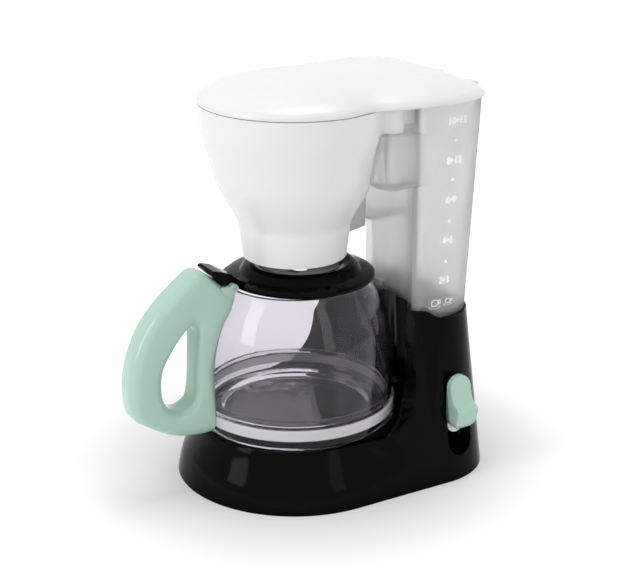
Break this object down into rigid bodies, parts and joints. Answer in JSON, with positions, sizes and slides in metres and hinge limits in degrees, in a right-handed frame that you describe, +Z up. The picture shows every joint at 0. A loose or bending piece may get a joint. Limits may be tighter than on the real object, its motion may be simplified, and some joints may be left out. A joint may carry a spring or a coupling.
{
  "type": "toy coffee maker",
  "caption": "Toy coffee maker: swing-out filter funnel, hinged lid, frosted tank on a black base, clear lidded jug and a sliding switch.",
  "frame": {"origin": "on the jug's axis, at the ground", "axes": "+Z up, -Y towards the jug's handle, +Y towards the tank, +X towards the switch"},
  "size_m": [0.125, 0.1938, 0.2083],
  "materials": {
    "black_plastic": "glossy moulded plastic",
    "white_plastic": "glossy moulded plastic",
    "frosted_plastic": "frosted translucent plastic",
    "clear_plastic": "clear moulded plastic",
    "mint_plastic": "satin-gloss moulded plastic",
    "steel": "plain steel screws and pins"
  },
  "bodies": {
    "stand": {"base_housing": "black_plastic", "base_plate": "black_plastic", "base_screws": "steel", "water_tank": "frosted_plastic", "tank_screws": "steel", "lid_hinge_pins": "steel", "switch_guide": "black_plastic", "switch_guide_screws": "steel", "detent_spring": "steel"},
    "lid": {"tank_lid": "white_plastic"},
    "filter": {"filter_holder": "white_plastic", "filter_pivot_pin": "white_plastic"},
    "jug": {"jug": "clear_plastic", "jug_base": "clear_plastic", "jug_handle": "mint_plastic", "jug_handle_cover": "mint_plastic", "jug_handle_screws": "steel", "jug_lid_pin": "steel"},
    "jug_lid": {"jug_lid": "black_plastic"},
    "switch": {"switch_button": "mint_plastic", "switch_carriage": "white_plastic"}
  },
  "joints": [
    {"name": "lid_hinge", "type": "hinge", "parent": "stand", "child": "lid", "pos_m": [0, 0.0945, 0.193], "axis": [-1, 0, 0], "range_deg": [0, 100]},
    {"name": "filter_swing", "type": "hinge", "parent": "stand", "child": "filter", "pos_m": [0.0355, 0.034, 0.17], "axis": [0, 0, 1], "range_deg": [0, 60]},
    {"name": "jug_slide", "type": "slide", "parent": "stand", "child": "jug", "axis": [0, -1, 0], "range_m": [0, 0.12]},
    {"name": "jug_lid_hinge", "type": "hinge", "parent": "jug", "child": "jug_lid", "pos_m": [0, -0.039, 0.107], "axis": [1, 0, 0], "range_deg": [0, 3]},
    {"name": "switch_slide", "type": "slide", "parent": "stand", "child": "switch", "axis": [0, 0, -1], "range_m": [0, 0.01]}
  ]
}
